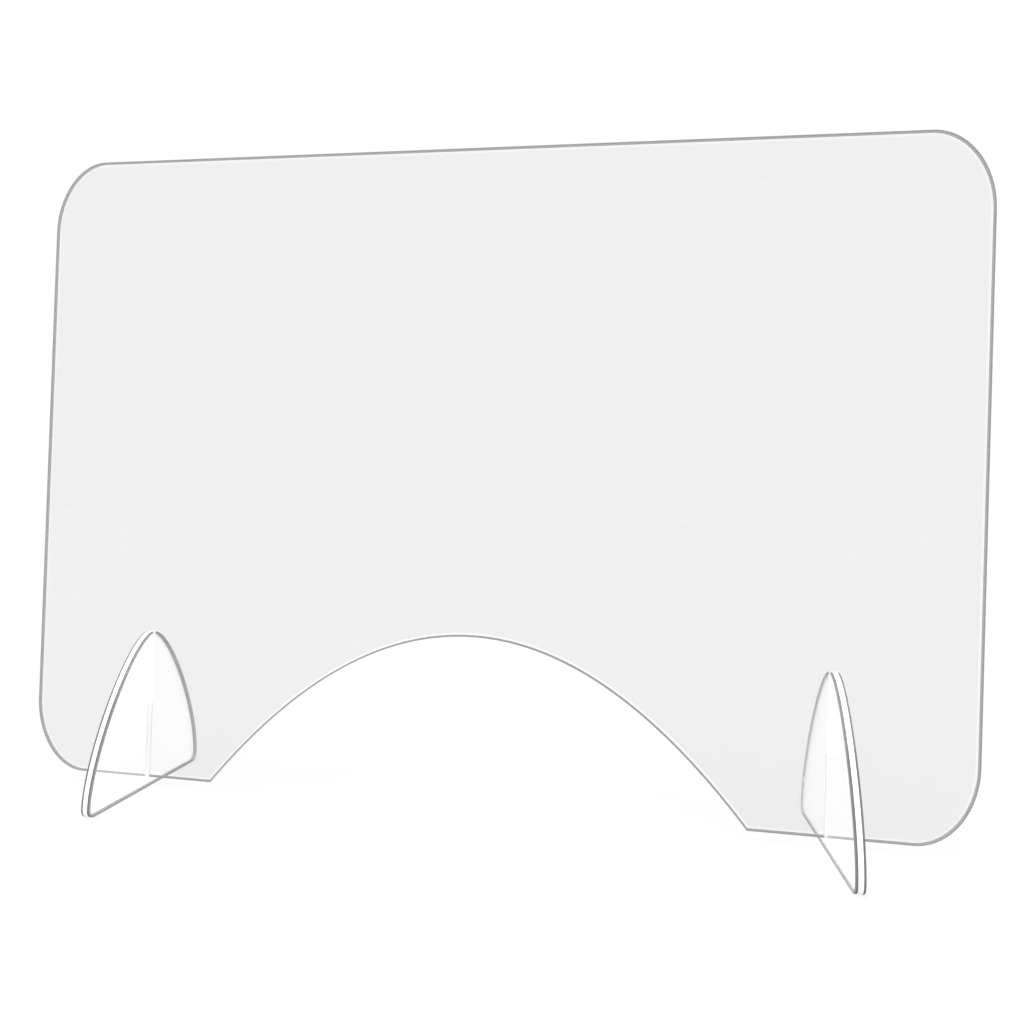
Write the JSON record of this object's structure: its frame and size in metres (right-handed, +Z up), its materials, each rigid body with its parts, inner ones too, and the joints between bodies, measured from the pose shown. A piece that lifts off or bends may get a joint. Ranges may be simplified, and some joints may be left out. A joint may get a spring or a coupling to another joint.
{
  "type": "desk privacy panel",
  "caption": "Free-standing clear desk panel: a flat sheet with rounded corners and a wide arched opening in its lower edge, slotted upright onto crosswise round-tipped feet.",
  "frame": {"origin": "on the desk top, under the middle of the sheet, in the sheet's middle plane", "axes": "+X along the sheet, to the right of a person who faces it; +Y away from that person, so the front looks along -Y; +Z up"},
  "size_m": [0.88, 0.168, 0.62],
  "materials": {
    "panel_acrylic": "polished",
    "foot_acrylic": "polished"
  },
  "bodies": {
    "left_foot": {"left_foot": "foot_acrylic"},
    "panel": {"panel": "panel_acrylic"},
    "right_foot": {"right_foot": "foot_acrylic"}
  },
  "joints": [
    {"name": "panel_lift", "type": "slide", "parent": "left_foot", "child": "panel", "axis": [0, 0, 1], "range_m": [0, 0.16]},
    {"name": "right_foot_slip", "type": "slide", "parent": "panel", "child": "right_foot", "axis": [0, 0, -1], "range_m": [0, 0.16]}
  ],
  "couplings": [
    {"joint": "right_foot_slip", "follows": "panel_lift", "ratio": 1}
  ]
}
